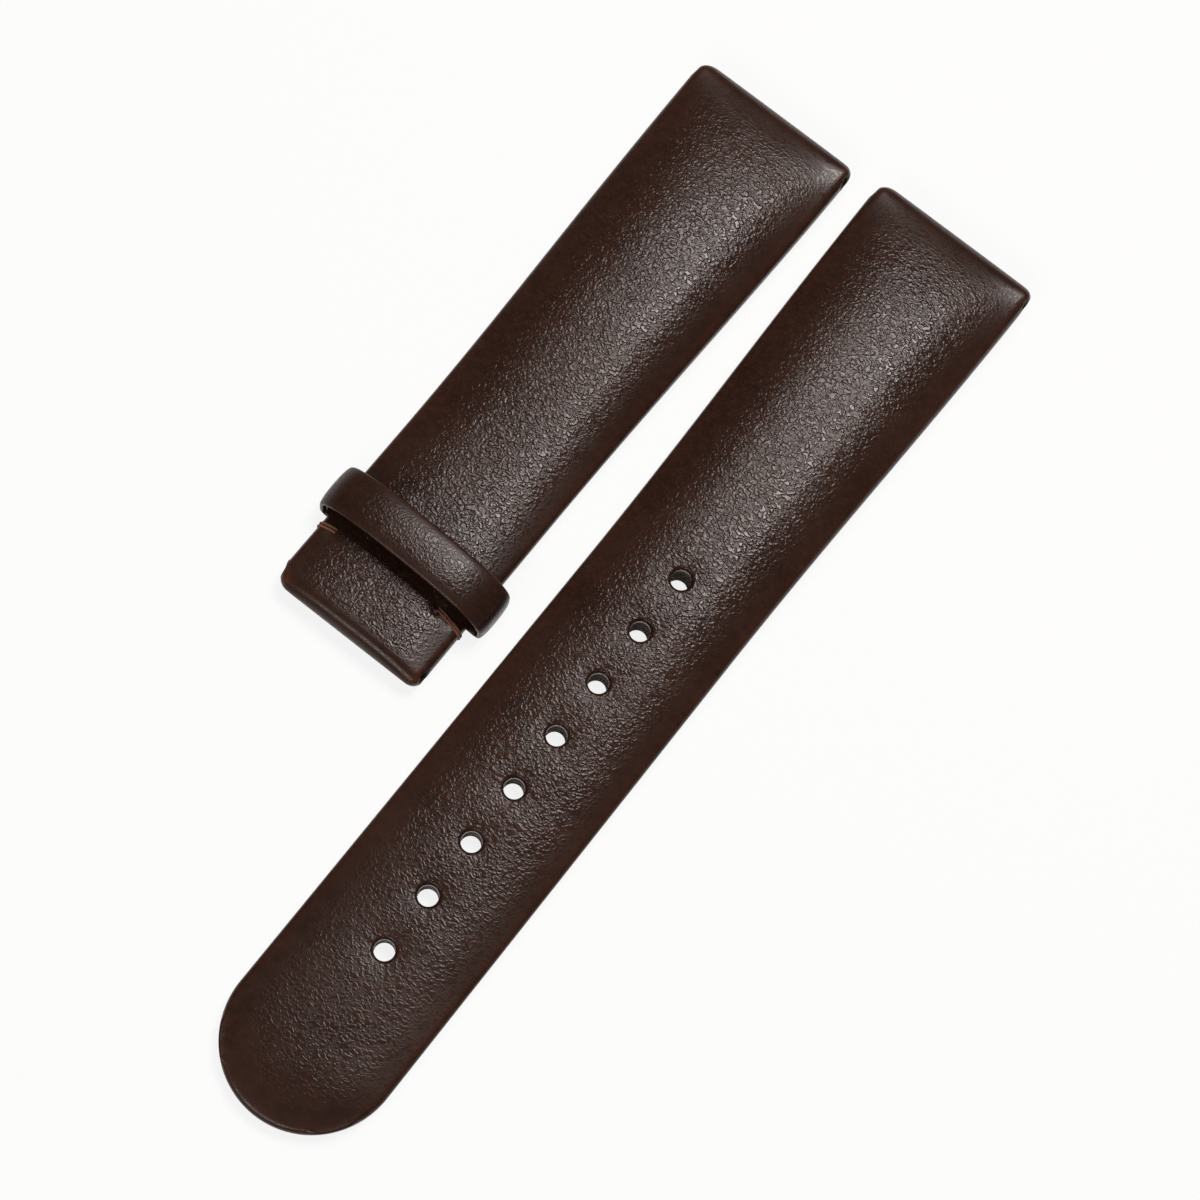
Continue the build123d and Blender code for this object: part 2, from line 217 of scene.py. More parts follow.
def skin_point(half, run, part, place, hand=1):
    """A point of the top leather's outside: its x from the middle, and its height."""
    if part == "crown":
        hand = copysign(1, place)
    top, inner, middle, tall, last_turn, edge_x, edge_z = section(half, run, hand)
    if part == "crown":
        x, z = place * edge_x, edge_z + (top - edge_z) * (1 - abs(place) ** crown_power)
    elif part == "side":
        turn = (pi / 2 + last_turn) * place - pi / 2
        x = hand * (inner + shoulder * cos(turn) ** (2 / side_squareness))
        z = middle + tall * copysign(abs(sin(turn)) ** (2 / side_squareness), sin(turn))
    else:
        hem = inner + shoulder - hem_width
        x = 2 * place * hem if place < 0.5 else hem + (2 * place - 1) * (inner - hem)
        x, z = hand * x, skin_base
    nose = nose_at(half, run)
    if nose:
        out, centre = nose
        z = centre + (z - centre) * sqrt(max(1 - out**2, 0))
    return x, z


def stations():
    """Where points lie round a half, from the underside's middle round the right side and back."""
    right = [("under", i / under_steps, 1) for i in range(under_steps)]
    right += [("side", i / side_steps, 1) for i in range(side_steps)]
    crown = [("crown", 1 - 2 * i / crown_steps, 1) for i in range(crown_steps + 1)]
    left = [(part, place, -1) for part, place, _ in reversed(right)]
    return right + crown + left


def spread(stops, pitch):
    """Evenly spaced values between stops, each of which is kept."""
    values = [stops[0]]
    for low, high in zip(stops, stops[1:]):
        steps = max(round((high - low) / pitch), 1)
        values += [low + (high - low) * i / steps for i in range(1, steps + 1)]
    return values


def rows_of(half):
    """The runs at which points lie along a half."""
    start, finish = end_runs(half)
    turns = [nose_turn * i / nose_steps for i in range(nose_steps + 1)]
    rows = [start * (1 - sin(turn)) for turn in reversed(turns[1:])]
    stops = [start, half.lug_flap]
    for y in reversed(half.holes):
        rows += spread(stops + [half.lug - y - hole_patch], row_pitch)[:-1]
        rows += spread([half.lug - y - hole_patch, half.lug - y + hole_patch],
                       2 * hole_patch / hole_patch_steps)[:-1]
        stops = [half.lug - y + hole_patch]
    if half.end_nose:
        rows += spread(stops + [half.length - half.end_flap, finish], row_pitch)[:-1]
        rows += [finish + half.end_nose * sin(turn) for turn in turns]
    else:
        rows += spread(stops + [finish], row_pitch)
    return rows


def crown_level(half, x, y):
    """Height of the outside of the top leather over a point in plan."""
    run = half.lug - y
    finish = half.length - tip_radius
    if not half.end_nose and run > finish:
        x, run = hypot(x - half.x, run - finish) + half.x, finish
    hand = copysign(1, x - half.x)
    edge_x = section(half, run, hand)[5]
    return skin_point(half, run, "crown", hand * min(abs(x - half.x) / edge_x, 1))[1]


def hole_drop(half, x, y):
    """How far the leather is drawn down round the punched holes."""
    drop = 0
    for number, hole_y in enumerate(half.holes):
        out = hypot(x - half.x, y - hole_y)
        if out > 3 * hole_dish_reach:
            continue
        drop += hole_dish * exp(-((out / hole_dish_reach) ** 2))
        rolled = max(hole_radius + hole_roll - out, 0)
        drop += hole_roll - sqrt(max(hole_roll**2 - rolled**2, 0))
        turn = atan2(y - hole_y, x - half.x)
        wander = pucker_wander * sin(pucker_waves * turn + number)
        wave = cos(pucker_count * turn + number + wander)
        fade = exp(-(((out - pucker_radius) / pucker_spread) ** 2))
        drop += pucker_depth * fade * (0.5 + 0.5 * wave)
    return drop


def tack_pull(half, x, y):
    """How far the tacks' threads draw the leather down."""
    pull = 0
    for pull_x, pull_y, depth in half.pulls:
        across, along = (x - pull_x) / dimple_reach, (y - pull_y) / dimple_reach
        pull += depth * exp(-(across**2) - along**2)
    return pull


def settle(x, y):
    """The slight unevenness of padding and hide."""
    return sum(
        height * noise.noise(Vector((x * across, y * along, seed)))
        for height, across, along, seed in unevenness
    )


def boundary_of(inside):
    """The edges between faces that are inside and faces that aren't, in the faces' own order."""
    chosen = set(inside)
    return [e for f in inside for e in f.edges if any(g not in chosen for g in e.link_faces)]


def open_patch(bm, inside, matrix, radius):
    """Swaps some faces for an empty ring bridged to their surroundings; gives the ring's edges."""
    rim = boundary_of(inside)
    bmesh.ops.delete(bm, geom=inside, context="FACES")
    rim = [e for e in rim if e.is_valid]
    ring = bmesh.ops.create_circle(bm, segments=len(rim), radius=radius, matrix=matrix)["verts"]
    edges = list(dict.fromkeys(e for v in ring for e in v.link_edges))
    bmesh.ops.bridge_loops(bm, edges=rim + edges)
    return edges


def grow_ring(bm, edges, shift):
    """Extrudes a ring of edges and moves the new points by a function of their place."""
    new = bmesh.ops.extrude_edge_only(bm, edges=edges)["geom"]
    for v in new:
        if isinstance(v, bmesh.types.BMVert):
            v.co = shift(v.co)
    return [e for e in new if isinstance(e, bmesh.types.BMEdge) and e.is_boundary]


def top_leather(half):
    """The turned and folded top leather of a half, as one skin in millimetres."""
    places, rows = stations(), rows_of(half)
    bm = bmesh.new()
    bmesh.ops.create_grid(bm, x_segments=len(places) - 1, y_segments=len(rows) - 1, size=1)
    for v in bm.verts:
        part, place, hand = places[round((v.co.x + 1) / 2 * (len(places) - 1))]
        run = rows[round((v.co.y + 1) / 2 * (len(rows) - 1))]
        x, z = skin_point(half, run, part, place, hand)
        v.co = half.x + x, half.lug - run, z
    finish = end_runs(half)[1]
    if not half.end_nose:
        end_y = half.lug - rows[-1]
        profile = [
            e for e in bm.edges
            if all(abs(v.co.y - end_y) < same_place and v.co.x > half.x - same_place
                   for v in e.verts)
        ]
        bmesh.ops.spin(
            bm, geom=profile, cent=(half.x, end_y, 0), axis=(0, 0, 1), dvec=(0, 0, 0),
            angle=-pi, steps=tip_steps, use_merge=False, use_normal_flip=False,
            use_duplicate=False,
        )
    bmesh.ops.remove_doubles(bm, verts=bm.verts, dist=weld)
    bmesh.ops.holes_fill(bm, edges=[e for e in bm.edges if e.is_boundary])
    bmesh.ops.recalc_face_normals(bm, faces=bm.faces)

    # The underside is open between the hems, where the lining is glued on.
    last_flap = half.length - (half.end_flap or 0)
    bare = []
    for f in bm.faces:
        middle = f.calc_center_median()
        run = half.lug - middle.y
        if middle.z > skin_base + level_slack or not half.lug_flap < run < last_flap:
            continue
        across = abs(middle.x - half.x)
        if not half.end_nose and run > finish:
            across = hypot(across, run - finish)
            run = finish
        if across < reach_at(half, run) - hem_width:
            bare.append(f)
    bmesh.ops.delete(bm, geom=bare, context="FACES")

    for hole_y in half.holes:
        spot = Vector((half.x, hole_y, crown_level(half, half.x, hole_y)))
        inside = [
            f for f in bm.faces
            if abs(f.calc_center_median().x - spot.x) < hole_patch + hole_patch_slack
            and abs(f.calc_center_median().y - spot.y) < hole_patch
            and f.normal.z > 0.5
        ]
        edges = open_patch(bm, inside, Matrix.Translation(spot), hole_rings[-1])
        for radius in reversed((hole_radius,) + hole_rings[:-1]):
            edges = grow_ring(
                bm, edges, lambda co: spot + (co - spot).normalized() * radius
            )
    for v in bm.verts:
        away = min(half.lug - v.co.y, v.co.y - (half.lug - half.length))
        if v.normal.z > crown_lean and v.co.z > skin_base + crown_over_base:
            inner = reach_at(half, half.lug - v.co.y) - shoulder
            if abs(v.co.x - half.x) < inner and away > dressed_from:
                level = crown_level(half, v.co.x, v.co.y)
                margin = min(away - dressed_from, inner - abs(v.co.x - half.x))
                fade = eased(margin / settled_over)
                level -= hole_drop(half, v.co.x, v.co.y) + tack_pull(half, v.co.x, v.co.y)
                v.co.z = level + settle(v.co.x, v.co.y) * fade
    for hole_y in half.holes:
        rim = [
            e for e in bm.edges
            if e.is_boundary
            and all(hypot(v.co.x - half.x, v.co.y - hole_y) < hole_radius + rim_slack
                    for v in e.verts)
        ]
        grow_ring(bm, rim, lambda co: co - Vector((0, 0, hole_wall)))
    return bm


def side_point(half, y, z, hand):
    """The point of a half's rounded side at a place along the half and a height."""
    run = half.lug - y
    level = z
    nose = nose_at(half, run)
    if nose:
        out, centre = nose
        level = centre + (z - centre) / sqrt(1 - out**2)
    _, inner, middle, tall, *_ = section(half, run, hand)
    up = min(abs(level - middle) / tall, 1)
    x = inner + shoulder * (1 - up**side_squareness) ** (1 / side_squareness)
    return Vector((half.x + hand * x, y, z))


def open_channels(bm, half, channels):
    """Opens the folded ends at the sides, where a bar goes in."""
    for channel, radius, drop in channels:
        axis = mount_in_mm(channel) - Vector((0, 0, drop))
        for hand in (-1, 1):
            inside = [
                f for f in bm.faces
                if (f.calc_center_median().yz - axis.yz).length < radius + channel_margin
                and hand * (f.calc_center_median().x - half.x) > lug_width / 2 - channel_depth
            ]
            matrix = Matrix.Translation(axis) @ Matrix.Rotation(pi / 2, 4, "Y")
            matrix = matrix @ Matrix.Translation((0, 0, hand * lug_width / 2))
            edges = open_patch(bm, inside, matrix, radius)
            for v in dict.fromkeys(v for e in edges for v in e.verts):
                v.co = side_point(half, v.co.y, v.co.z, hand)


def mark(bm, name, value_at):
    """Gives every point a number that the materials read."""
    layer = bm.verts.layers.float.new(name)
    for v in bm.verts:
        v[layer] = value_at(v)


def finished(bm, name, material, body, nodes):
    """Makes a piece of a shape in millimetres, rides it on its body and gives it its finish."""
    bmesh.ops.recalc_face_normals(bm, faces=bm.faces)
    bmesh.ops.scale(bm, vec=(mm, mm, mm), verts=bm.verts)
    for f in bm.faces:
        f.smooth = True
    mesh = bpy.data.meshes.new(name)
    bm.to_mesh(mesh)
    bm.free()
    piece = bpy.data.objects.new(name, mesh)
    bpy.context.scene.collection.objects.link(piece)
    mesh.materials.append(material)
    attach(piece, body)
    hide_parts(*nodes)
    return piece


# Materials


def node_of(tree, kind, values=None, **settings):
    """A node with its settings and socket values."""
    node = tree.nodes.new(kind)
    for key, value in settings.items():
        setattr(node, key, value)
    for key, value in (values or {}).items():
        node.inputs[key].default_value = value
    return node


def joined(tree, *links):
    """Links pairs of sockets."""
    for source, target in links:
        tree.links.new(source, target)


def maths(tree, operation, first, second=None, third=None):
    """A Math node's output; each input is a socket or a number."""
    node = node_of(tree, "ShaderNodeMath", operation=operation)
    for socket, value in zip(node.inputs, (first, second, third)):
        if value is None:
            continue
        if isinstance(value, (int, float)):
            socket.default_value = value
        else:
            tree.links.new(value, socket)
    return node.outputs[0]


def ramp(tree, value, low, high, start=0.0, end=1.0, smooth=True):
    """A value brought from one range to another."""
    node = node_of(
        tree, "ShaderNodeMapRange",
        {"From Min": low, "From Max": high, "To Min": start, "To Max": end},
        interpolation_type="SMOOTHSTEP" if smooth else "LINEAR",
    )
    tree.links.new(value, node.inputs["Value"])
    return node.outputs["Result"]


def mixed(tree, share, first, second):
    """Two colours mixed by a share; each is a socket or a colour."""
    node = node_of(tree, "ShaderNodeMix", data_type="RGBA")
    share_in, first_in, second_in = (node.inputs[i] for i in (0, 6, 7))
    for socket, value in ((share_in, share), (first_in, first), (second_in, second)):
        if hasattr(value, "links"):
            tree.links.new(value, socket)
        else:
            socket.default_value = value
    return node.outputs[2]


def new_group(name, inputs, outputs):
    """A shader node group with named sockets."""
    group = bpy.data.node_groups.new(name, "ShaderNodeTree")
    for label, kind, value in inputs:
        socket = group.interface.new_socket(label, in_out="INPUT", socket_type=kind)
        if value is not None:
            socket.default_value = value
    for label, kind in outputs:
        group.interface.new_socket(label, in_out="OUTPUT", socket_type=kind)
    return group, node_of(group, "NodeGroupInput"), node_of(group, "NodeGroupOutput")


# Hide grain: waves to a pebble's width, the noise that makes a crease, and the pimples' share
worm_rate, pimple_rate, tone_rate = 0.75, 1.7, 0.4
crease_low, crease_high = -0.01, 0.19
pimple_share = 0.28


def grain_group():
    """Hide grain: worm-like ridges parted by creases, with smaller pimples on them."""
    group, given, out = new_group(
        "hide_grain",
        [("Vector", "NodeSocketVector", None), ("Pebble", "NodeSocketFloat", 0.4),
         ("Strength", "NodeSocketFloat", 1.0)],
        [("Height", "NodeSocketFloat"), ("Crease", "NodeSocketFloat"), ("Tone", "NodeSocketFloat")],
    )
    cells = maths(group, "DIVIDE", 1 / mm, given.outputs["Pebble"])
    worms = node_of(
        group, "ShaderNodeTexNoise", {"Detail": 1.0, "Roughness": 0.45, "Distortion": 0.35},
    )
    fine = node_of(group, "ShaderNodeTexNoise", {"Detail": 1.0, "Roughness": 0.5})
    tones = node_of(group, "ShaderNodeTexNoise", {"Detail": 1.0})
    joined(
        group,
        (given.outputs["Vector"], worms.inputs["Vector"]),
        (maths(group, "MULTIPLY", cells, worm_rate), worms.inputs["Scale"]),
        (given.outputs["Vector"], fine.inputs["Vector"]),
        (maths(group, "MULTIPLY", cells, pimple_rate), fine.inputs["Scale"]),
        (given.outputs["Vector"], tones.inputs["Vector"]),
        (maths(group, "MULTIPLY", cells, tone_rate), tones.inputs["Scale"]),
    )
    worm = maths(group, "ABSOLUTE", maths(group, "SUBTRACT", worms.outputs["Fac"], 0.5))
    crease = ramp(group, worm, crease_low, crease_high)
    rough = maths(group, "MULTIPLY_ADD", fine.outputs["Fac"], pimple_share, crease)
    height = maths(group, "MULTIPLY", rough, given.outputs["Strength"])
    joined(
        group, (height, out.inputs["Height"]), (crease, out.inputs["Crease"]),
        (ramp(group, tones.outputs["Fac"], 0.3, 0.7), out.inputs["Tone"]),
    )
    return group


# Lighter, redder edges, partly wear and partly painted highlight: the least share of them that the
# noise leaves.
least_rub_and_highlight = 0.25


def rub_and_highlight_group():
    """Edges that are partly rubbed and partly given a painted highlight: a mask that noise breaks
    up.
    """
    group, given, out = new_group(
        "edge_rub_and_highlight",
        [("Vector", "NodeSocketVector", None), ("Edge", "NodeSocketFloat", 0.0)],
        [("Mask", "NodeSocketFloat")],
    )
    patch = node_of(group, "ShaderNodeTexNoise", {"Scale": 900.0, "Detail": 4.0, "Roughness": 0.65})
    joined(group, (given.outputs["Vector"], patch.inputs["Vector"]))
    broken = ramp(group, patch.outputs["Fac"], 0.38, 0.66)
    kept = maths(group, "MULTIPLY_ADD", broken, 1 - least_rub_and_highlight, least_rub_and_highlight)
    mask = maths(group, "MULTIPLY", given.outputs["Edge"], kept)
    joined(group, (mask, out.inputs["Mask"]))
    return group


hide_grain = grain_group()
edge_rub_and_highlight = rub_and_highlight_group()


def principled(name, **values):
    """A material with its shader, whose plain values are set on its own sockets."""
    material = bpy.data.materials.new(name)
    material.use_nodes = True
    shader = material.node_tree.nodes["Principled BSDF"]
    for key, value in values.items():
        shader.inputs[key.replace("_", " ")].default_value = value
    return material, material.node_tree, shader


def object_places(tree, stretch=(1, 1, 1)):
    """Object coordinates, stretched."""
    source = node_of(tree, "ShaderNodeTexCoord")
    mapping = node_of(tree, "ShaderNodeMapping")
    mapping.inputs["Scale"].default_value = stretch
    tree.links.new(source.outputs["Object"], mapping.inputs["Vector"])
    return mapping.outputs["Vector"]


# Dyed hide: how much of the grain is left where it is flattest, and what makes tone and gloss vary;
# the crease share of the tone paints shade into the grain's creases
least_grain, hide_specular = 0.12, 0.26
crease_shade_tone, grain_tone, cloud_tone = 0.55, 0.25, 0.3
speck_gloss, cloud_gloss, crease_gloss, plain_gloss = 0.06, 0.04, 0.16, 0.07


def leather(name, dark, lit, rubbed_and_highlit, pebble, relief, roughness, stretch=(1, 1, 1)):
    """Smooth dyed hide: grain that the attribute named plump brings out, with shade painted into
    its creases, and edges painted lighter and redder, partly as rubbing and partly as painted
    highlight.
    """
    material, tree, shader = principled(name, Specular_IOR_Level=hide_specular)
    place = object_places(tree, stretch)
    plump = node_of(tree, "ShaderNodeAttribute", attribute_name="plump").outputs["Fac"]
    edge = node_of(tree, "ShaderNodeAttribute", attribute_name="edge").outputs["Fac"]
    grain = node_of(tree, "ShaderNodeGroup", node_tree=hide_grain)
    grain.inputs["Pebble"].default_value = pebble
    rub_and_highlight = node_of(tree, "ShaderNodeGroup", node_tree=edge_rub_and_highlight)
    cloud = node_of(tree, "ShaderNodeTexNoise", {"Scale": 120.0, "Detail": 3.0, "Roughness": 0.55})
    speck = node_of(tree, "ShaderNodeTexNoise", {"Scale": 2600.0, "Detail": 2.0})
    joined(
        tree,
        (place, grain.inputs["Vector"]), (place, rub_and_highlight.inputs["Vector"]),
        (place, cloud.inputs["Vector"]), (place, speck.inputs["Vector"]),
        (ramp(tree, plump, 0.0, 1.0, least_grain, 1.0, smooth=False), grain.inputs["Strength"]),
        (edge, rub_and_highlight.inputs["Edge"]),
    )
    cloudy = ramp(tree, cloud.outputs["Fac"], 0.3, 0.7)
    # Painted shade: the grain's creases are coloured darker and its crests lighter; grain tone and
    # clouds vary the colour at random.
    crease_shaded = maths(tree, "MULTIPLY", grain.outputs["Crease"], crease_shade_tone)
    tone = maths(tree, "ADD", crease_shaded, maths(tree, "MULTIPLY", grain.outputs["Tone"], grain_tone))
    tone = maths(tree, "MULTIPLY_ADD", cloudy, cloud_tone, tone)
    base = mixed(tree, tone, (*dark, 1), (*lit, 1))
    # Edges and corners are painted lighter and redder, partly as wear and partly as painted
    # highlight on their rounding.
    base = mixed(tree, rub_and_highlight.outputs["Mask"], base, (*rubbed_and_highlit, 1))
    gloss = maths(tree, "MULTIPLY_ADD", speck.outputs["Fac"], speck_gloss,
                  roughness - speck_gloss / 2)
    gloss = maths(tree, "MULTIPLY_ADD", cloudy, cloud_gloss, gloss)
    creased = maths(tree, "SUBTRACT", 1.0, grain.outputs["Crease"])
    gloss = maths(tree, "MULTIPLY_ADD", creased, crease_gloss, gloss)
    gloss = maths(tree, "MULTIPLY_ADD", maths(tree, "SUBTRACT", 1.0, plump), plain_gloss, gloss)
    bump = node_of(tree, "ShaderNodeBump", {"Strength": 1.0, "Distance": relief * mm})
    joined(
        tree,
        (base, shader.inputs["Base Color"]), (gloss, shader.inputs["Roughness"]),
        (grain.outputs["Height"], bump.inputs["Height"]),
        (bump.outputs["Normal"], shader.inputs["Normal"]),
    )
    return material


def fibrous(name, dark, lit, scale, relief, stretch=(1, 1, 1)):
    """Matt fibre board, tape or felted flesh side."""
    material, tree, shader = principled(name, Roughness=0.85, Sheen_Weight=0.1)
    place = object_places(tree, stretch)
    fibre = node_of(tree, "ShaderNodeTexNoise", {"Scale": scale, "Detail": 5.0, "Roughness": 0.7})
    bump = node_of(tree, "ShaderNodeBump", {"Strength": 0.7, "Distance": relief * mm})
    joined(
        tree,
        (place, fibre.inputs["Vector"]),
        (mixed(tree, ramp(tree, fibre.outputs["Fac"], 0.3, 0.7), (*dark, 1), (*lit, 1)),
         shader.inputs["Base Color"]),
        (fibre.outputs["Fac"], bump.inputs["Height"]),
        (bump.outputs["Normal"], shader.inputs["Normal"]),
    )
    return material


top_hide = leather(
    "brown_top_hide", dark=(0.0148, 0.0055, 0.0033), lit=(0.038, 0.016, 0.0098),
    rubbed_and_highlit=(0.073, 0.0255, 0.012), pebble=0.37, relief=0.029, roughness=0.135,
    stretch=(0.9, 1.1, 1),
)
keeper_hide = leather(
    "brown_keeper_hide", dark=(0.0158, 0.0059, 0.0035), lit=(0.034, 0.0145, 0.009),
    rubbed_and_highlit=(0.06, 0.023, 0.012), pebble=0.32, relief=0.018, roughness=0.165,
)
lining_hide = leather(
    "tan_lining_hide", dark=(0.11, 0.058, 0.03), lit=(0.18, 0.1, 0.056),
    rubbed_and_highlit=(0.2, 0.12, 0.07), pebble=0.5, relief=0.02, roughness=0.62,
)
padding_board = fibrous(
    "padding_board", (0.03, 0.018, 0.012), (0.09, 0.055, 0.035), 1500.0, 0.05,
)
stay_weave = fibrous("stay_weave", (0.4, 0.37, 0.32), (0.6, 0.57, 0.5), 2500.0, 0.05, (1, 3, 1))
tape_weave = fibrous("tape_weave", (0.12, 0.09, 0.07), (0.25, 0.2, 0.16), 3000.0, 0.03, (1, 3, 1))
waxed_thread = fibrous(
    "waxed_thread", (0.1, 0.037, 0.017), (0.26, 0.1, 0.05), 3500.0, 0.05, (1, 6, 1),
)


# Halves


# Grain: how far from the sides, the lug end and the clasp end it starts and over how far it
# fills, how high on the leather it shows, and how it fades towards the tip
side_plain, side_fill = 0.9, 3.2
end_plain, lug_fill, clasp_fill = 1.5, 6.0, 0.9
grain_over_base = 0.8
tail_fade, tail_fade_run, tail_fade_over = 0.6, 65, 35

# Rubbing and painted highlight: its distance from an edge, and its strength and spread at sides,
# folds and corners
rub_and_highlight_line = 0.5
side_rub_and_highlight, side_rub_and_highlight_spread = 0.22, 0.55
fold_rub_and_highlight, fold_rub_and_highlight_spread = 0.2, 0.6
corner_rub_and_highlight, corner_rub_and_highlight_spread = 0.75, 1.7

# Thinning of the leather at a hole's rim
rim_share, rim_run = 0.05, 0.5


def side_margin(half, v):
    """How far a point is in plan from its half's side or round tip."""
    run = half.lug - v.co.y
    finish = half.length - tip_radius
    if not half.end_nose and run > finish:
        return tip_radius - hypot(v.co.x - half.x, run - finish)
    return reach_at(half, run, copysign(1, v.co.x - half.x)) - abs(v.co.x - half.x)


def plumpness(half):
    """How full the grain is: none at the edges and folds, all of it on the crown."""
    def value(v):
        run = half.lug - v.co.y
        share = eased((side_margin(half, v) - side_plain) / side_fill)
        share *= eased((run - end_plain) / lug_fill)
        if half.end_nose:
            share *= eased((half.length - run - end_plain) / clasp_fill)
        else:
            share *= 1 - tail_fade * eased((run - tail_fade_run) / tail_fade_over)
        return share if v.co.z > skin_base + grain_over_base else 0.0
    return value


def rubbing_and_highlight(half):
    """Where the leather is painted lighter and redder, partly as rubbing and partly as painted
    highlight: along the shoulders, and most at the corners.
    """
    def value(v):
        run = half.lug - v.co.y
        aside = side_margin(half, v)
        along = min([run] + ([half.length - run] if half.end_nose else []))
        rim = exp(-(((aside - rub_and_highlight_line) / side_rub_and_highlight_spread) ** 2))
        fold = exp(-(((along - rub_and_highlight_line) / fold_rub_and_highlight_spread) ** 2))
        corner = exp(-((hypot(aside, along) / corner_rub_and_highlight_spread) ** 2))
        return min(side_rub_and_highlight * rim + fold_rub_and_highlight * fold + corner_rub_and_highlight * corner, 1.0)
    return value


def dress_half(half, name, body, nodes, channels):
    """A half's top leather as a finished piece."""
    bm = top_leather(half)
    open_channels(bm, half, channels)
    bm.normal_update()
    mark(bm, "plump", plumpness(half))
    mark(bm, "edge", rubbing_and_highlight(half))
    weights = bm.verts.layers.deform.verify()
    full = plumpness(half)
    for v in bm.verts:
        away = min([hypot(v.co.x - half.x, v.co.y - y) for y in half.holes] + [hole_dish_reach])
        thinned = eased((away - hole_radius) / rim_run) * (1 - rim_share) + rim_share
        v[weights][0] = (turned_share + (1 - turned_share) * full(v)) * thinned
    piece = finished(bm, name, top_hide, body, nodes)
    piece.vertex_groups.new(name="thickness")
    wall = piece.modifiers.new("wall", "SOLIDIFY")
    wall.thickness = top_thickness * mm
    wall.offset = -1
    wall.vertex_group = "thickness"
    wall.use_quality_normals = True
    return piece


ply_clearance = 0.1
ply_flat, ply_sharp, ply_rounding_steps = radians(1), radians(50), 3


def ply(node, name, material, body, rounding=0.0, under=None, narrowed=1.0):
    """A flat or hidden ply: its solid's own shape, merged, with softened edges.

    It is kept below the top leather of the half named under, and narrowed about its middle.
    """
    bm = bmesh.new()
    bm.from_mesh(frame["nodes"][node].data)
    bmesh.ops.scale(bm, vec=(1 / mm,) * 3, verts=bm.verts)
    bmesh.ops.remove_doubles(bm, verts=bm.verts, dist=weld)
    if rounding:
        bmesh.ops.dissolve_limit(
            bm, angle_limit=ply_flat, verts=bm.verts, edges=bm.edges,
            use_dissolve_boundaries=False,
        )
        sharp = [
            e for e in bm.edges
            if len(e.link_faces) == 2 and e.calc_face_angle(0) > ply_sharp
        ]
        bmesh.ops.bevel(
            bm, geom=sharp, offset=rounding, segments=ply_rounding_steps, profile=0.5,
            affect="EDGES", material=-1, clamp_overlap=True,
        )
    low, high = box_in_mm(node)
    for v in bm.verts:
        v.co.x = (low.x + high.x) / 2 + (v.co.x - (low.x + high.x) / 2) * narrowed
        if under and v.co.z > skin_base + top_thickness:
            ceiling = crown_level(under, v.co.x, v.co.y) - top_thickness - ply_clearance
            v.co.z = min(v.co.z, ceiling)
    piece = finished(bm, name, material, body, [node])
    piece.modifiers.new("weighted", "WEIGHTED_NORMAL")
    return piece


dress_half(tail_half, "tail_top_leather", "tail_half", ["tail_half_upper"],
           [("tail_lug_channel", channel_ring, 0)])
dress_half(buckle_half, "buckle_top_leather", "buckle_half", ["buckle_half_upper"],
           [("buckle_lug_channel", channel_ring, 0), ("clasp_channel", clasp_ring, clasp_drop)])
lining_rounding = 0.12
ply("tail_half_lining", "tail_lining_leather", lining_hide, "tail_half",
    lining_rounding)
ply("buckle_half_lining", "buckle_lining_leather", lining_hide, "buckle_half",
    lining_rounding)
ply("tail_half_padding", "tail_padding", padding_board, "tail_half", under=tail_half)
ply("buckle_half_padding", "buckle_padding", padding_board, "buckle_half",
    under=buckle_half)
ply("tail_half_stay", "tail_stay", stay_weave, "tail_half")
ply("buckle_half_stay", "buckle_stay", stay_weave, "buckle_half")
ply("tail_half_lug_tape", "tail_channel_tape", tape_weave, "tail_half", narrowed=0.9)
ply("buckle_half_lug_tape", "buckle_channel_tape", tape_weave, "buckle_half",
    narrowed=0.9)
ply("clasp_end_tape", "clasp_channel_tape", tape_weave, "buckle_half", narrowed=0.78)

# Keeper. Its arch is drawn lower and narrower than the solid's, as the photo shows it.
keeper_low, keeper_high = box_in_mm("keeper_band")
keeper_trim, keeper_drop = 0.4, 1.0
keeper_width = keeper_high.y - keeper_low.y - keeper_trim
keeper_y = keeper_high.y - keeper_width / 2
keeper_thickness, keeper_lining_thickness = 0.7, 0.32
keeper_bend, bend_steps = 0.62, 8
arch_level, arch_squareness, arch_steps = 2.6, 2.45, 60
keeper_steps, band_around = 150, 40
foot_level, foot_share = 0.89, 0.5
foot_inner = tail_width / 2 - 3.4
foot_width_share, foot_limit = 0.94, 0.7
band_squareness, band_bow, foot_run_share = 3.2, 0.1, 0.22
inner_squareness, inner_trim, inner_low = 5.0, 0.7, 1.5
keeper_skew, keeper_ease = 0.022, 0.2
keeper_x = buckle_half.x + keeper_ease
keeper_top = keeper_high.z - keeper_drop

# The keeper's grain, and its rubbing and painted highlight
foot_top, foot_grain, inner_grain = 2, 0.1, 0.3
end_grain_loss, end_grain_from, end_grain_over = 0.75, 5.5, 3
keeper_plain, keeper_fill = 0.35, 1.0
keeper_rub_and_highlight, keeper_rub_and_highlight_spread = 0.4, 0.4


